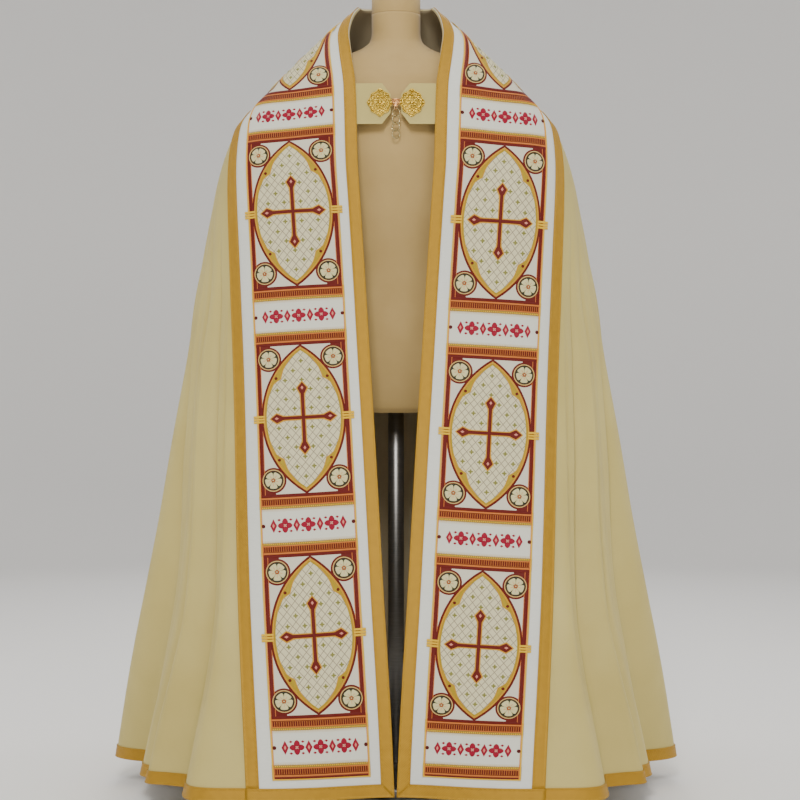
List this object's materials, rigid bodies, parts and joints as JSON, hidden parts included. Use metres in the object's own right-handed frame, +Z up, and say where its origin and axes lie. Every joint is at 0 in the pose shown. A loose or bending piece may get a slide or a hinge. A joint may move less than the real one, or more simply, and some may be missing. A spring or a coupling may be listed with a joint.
{
  "type": "cope vestment on a dress form",
  "caption": "Open-fronted cope with an ornamented band, gold braids and a chest clasp, hung on a limbless dress form with a round stand",
  "frame": {"origin": "centre of the stand base's flat underside, on the floor", "axes": "+Z up, front of the vestment towards -Y, +X towards the wearer's left"},
  "size_m": [1.1292, 0.9053, 1.603],
  "materials": {
    "cream_gold_cloth": "soft satin-faced cloth",
    "ivory_cloth": "matt woven cloth",
    "embroidered_panel": "satin-stitch embroidery",
    "gold_braid": "metallic thread braid",
    "neck_lining": "plain lining",
    "gold_clasp": "bright filigree",
    "pale_gold_ring": "polished",
    "tan_form_cover": "smooth cotton cover",
    "stand_steel": "dark satin"
  },
  "bodies": {
    "vestment": {"cope_body": "cream_gold_cloth", "orphrey_left": "ivory_cloth", "orphrey_right": "ivory_cloth", "panel_left": "embroidered_panel", "panel_right": "embroidered_panel", "inner_braid_left": "gold_braid", "inner_braid_right": "gold_braid", "outer_braid_left": "gold_braid", "outer_braid_right": "gold_braid", "hem_braid_left": "gold_braid", "hem_braid_right": "gold_braid", "hem_braid_body": "gold_braid", "neck_lining": "neck_lining", "tab_left": "cream_gold_cloth", "tab_right": "cream_gold_cloth", "clasp_half_left": "gold_clasp", "clasp_half_right": "gold_clasp", "clasp_hook": "gold_clasp", "form_torso": "tan_form_cover", "form_neck_cap": "tan_form_cover", "stand_pole": "stand_steel", "stand_base": "stand_steel"},
    "chain": {"chain_ring_1": "pale_gold_ring", "chain_ring_2": "pale_gold_ring", "chain_ring_3": "pale_gold_ring", "chain_ring_4": "pale_gold_ring"}
  },
  "joints": [
    {"name": "chain_swing", "type": "hinge", "parent": "vestment", "child": "chain", "pos_m": [0, -0.13423, 1.33072], "axis": [1, 0, 0], "range_deg": [-22, 12]}
  ]
}
